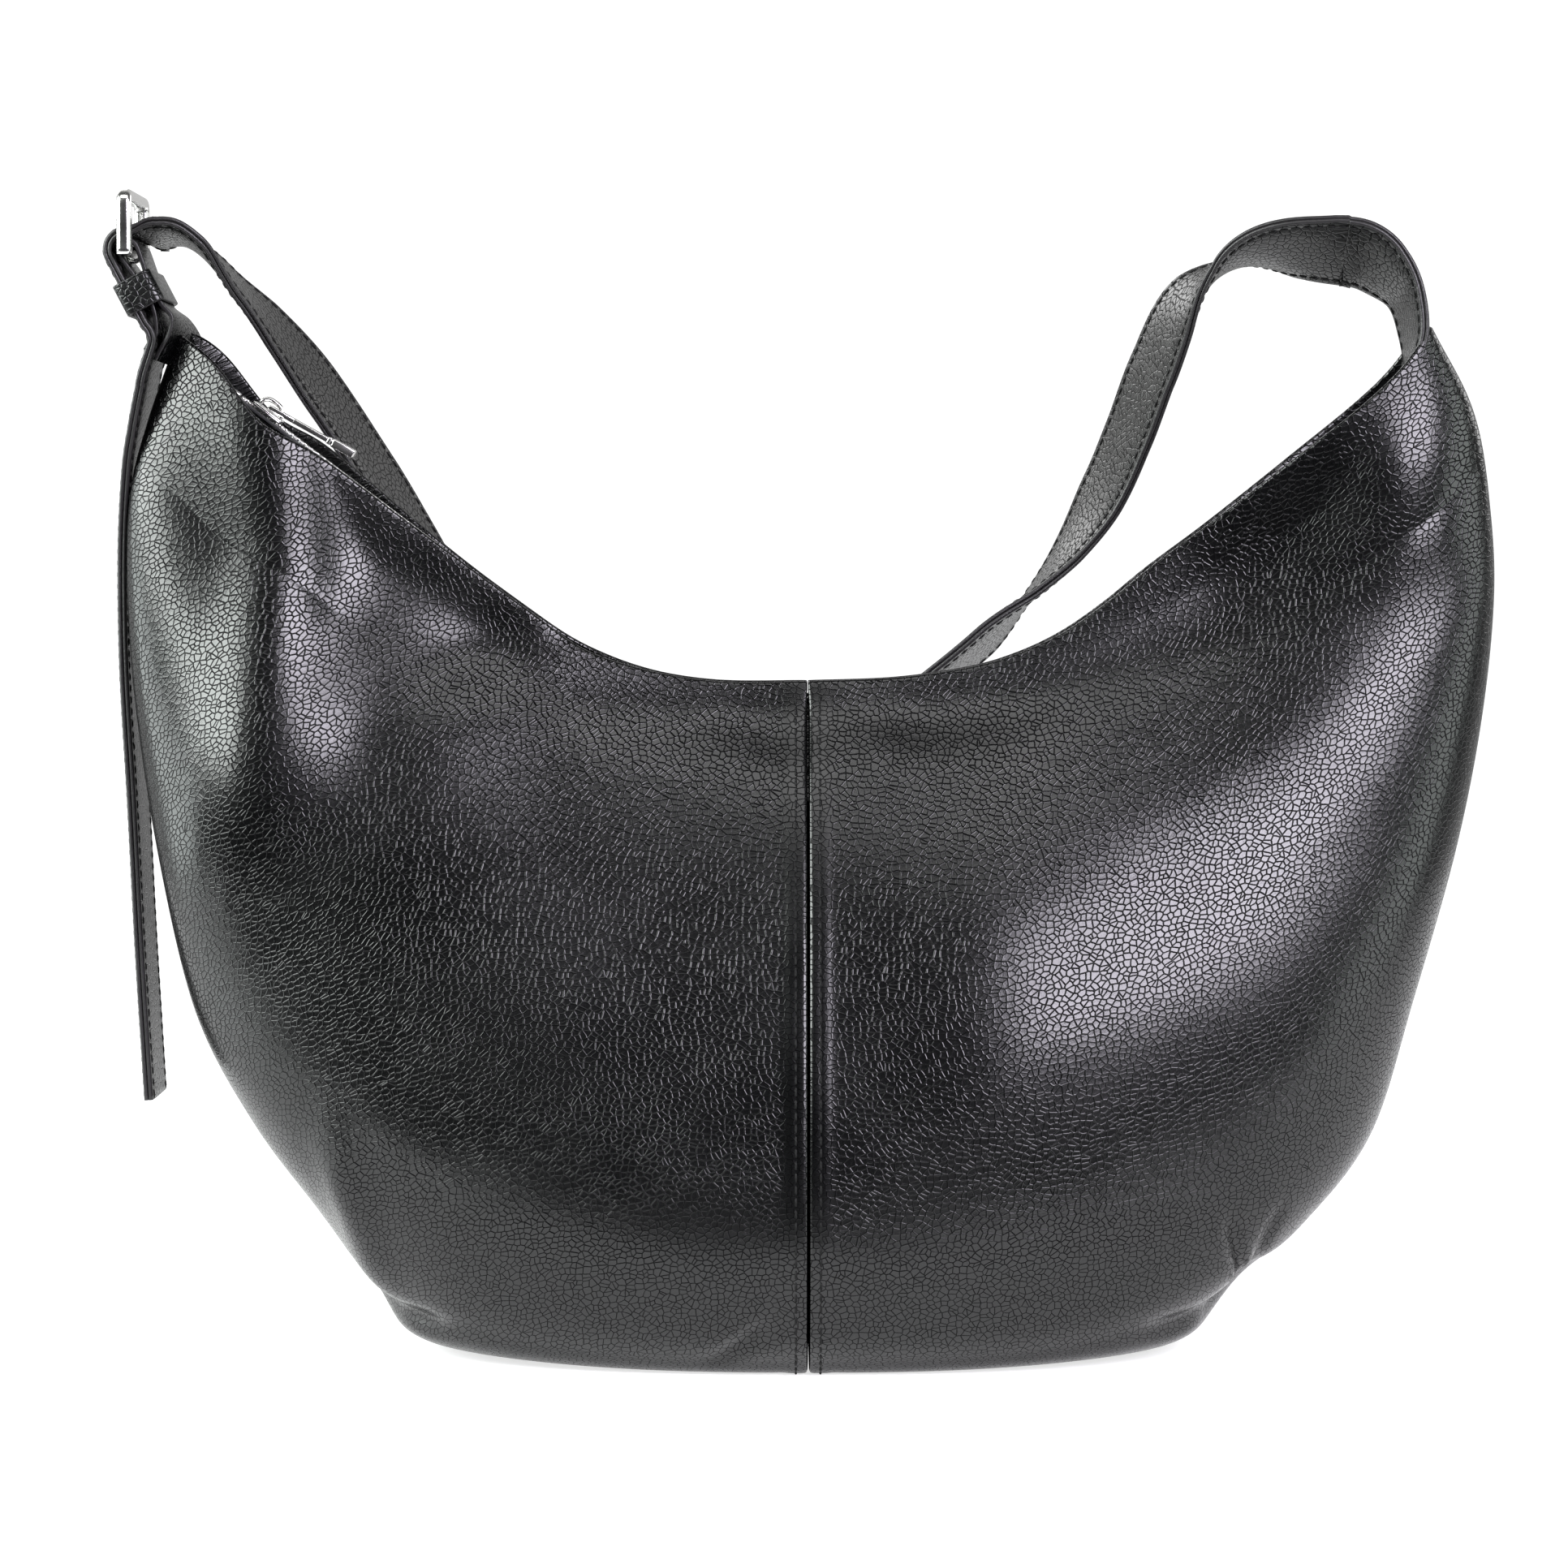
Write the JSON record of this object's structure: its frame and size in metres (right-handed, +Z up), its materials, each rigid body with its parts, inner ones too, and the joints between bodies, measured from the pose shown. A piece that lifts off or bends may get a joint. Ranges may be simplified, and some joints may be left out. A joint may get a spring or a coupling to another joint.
{
  "type": "hobo bag",
  "caption": "Slouchy leather shoulder bag with a zipped, dipped mouth, a centre seam and a buckled strap that hangs behind it.",
  "frame": {"origin": "on the flat base, under the middle of the bag, just left of the centre seam", "axes": "+X to the right as the bag is seen from the front, +Y to the back where the strap hangs, +Z up"},
  "size_m": [0.4166, 0.1384, 0.348],
  "materials": {
    "leather": "pebbled, satin",
    "strap_back": "smooth, matte",
    "lining": "woven, matte",
    "zip_tape": "woven, matte",
    "nickel": "polished"
  },
  "bodies": {
    "bag": {"left_panel": "leather", "right_panel": "leather", "mouth_facing_front": "leather", "mouth_facing_back": "leather", "lining": "lining", "zip_tape_front": "zip_tape", "zip_tape_back": "zip_tape", "zip_teeth_front": "nickel", "zip_teeth_back": "nickel", "zip_top_stop": "nickel", "zip_bottom_stop": "nickel", "buckle_tab": "leather", "strap_end_outer": "leather", "strap_end_inner": "strap_back", "strap_root_outer": "leather", "strap_root_inner": "strap_back"},
    "slider": {"zip_slider": "nickel"},
    "pull": {"zip_pull": "nickel"},
    "buckle": {"buckle_frame": "nickel"},
    "prong": {"buckle_prong": "nickel"},
    "keeper": {"strap_keeper": "leather"},
    "tail": {"strap_tail_outer": "leather", "strap_tail_inner": "strap_back"},
    "strap": {"strap_span_outer": "leather", "strap_span_inner": "strap_back"}
  },
  "joints": [
    {"name": "zip_slide", "type": "slide", "parent": "bag", "child": "slider", "axis": [0.7965, 0, -0.6046], "range_m": [0, 0.1]},
    {"name": "pull_swing", "type": "hinge", "parent": "slider", "child": "pull", "pos_m": [-0.15984, 0, 0.28349], "axis": [0, -1, 0], "range_deg": [0, 110]},
    {"name": "strap_swing", "type": "hinge", "parent": "bag", "child": "strap", "pos_m": [0, 0.0005, 0.334], "axis": [1, 0, 0], "range_deg": [0, 170]},
    {"name": "tail_swing", "type": "hinge", "parent": "bag", "child": "tail", "pos_m": [-0.19787, 0, 0.30858], "axis": [0, 1, 0], "range_deg": [0, 45]},
    {"name": "buckle_tilt", "type": "hinge", "parent": "bag", "child": "buckle", "pos_m": [-0.201, 0, 0.33], "axis": [0, 1, 0], "range_deg": [-12, 12]},
    {"name": "prong_lift", "type": "hinge", "parent": "buckle", "child": "prong", "pos_m": [-0.201, 0, 0.33], "axis": [0, -1, 0], "range_deg": [0, 15]},
    {"name": "keeper_slide", "type": "slide", "parent": "bag", "child": "keeper", "axis": [0.4614, 0, -0.8872], "range_m": [-0.003, 0.002]}
  ]
}
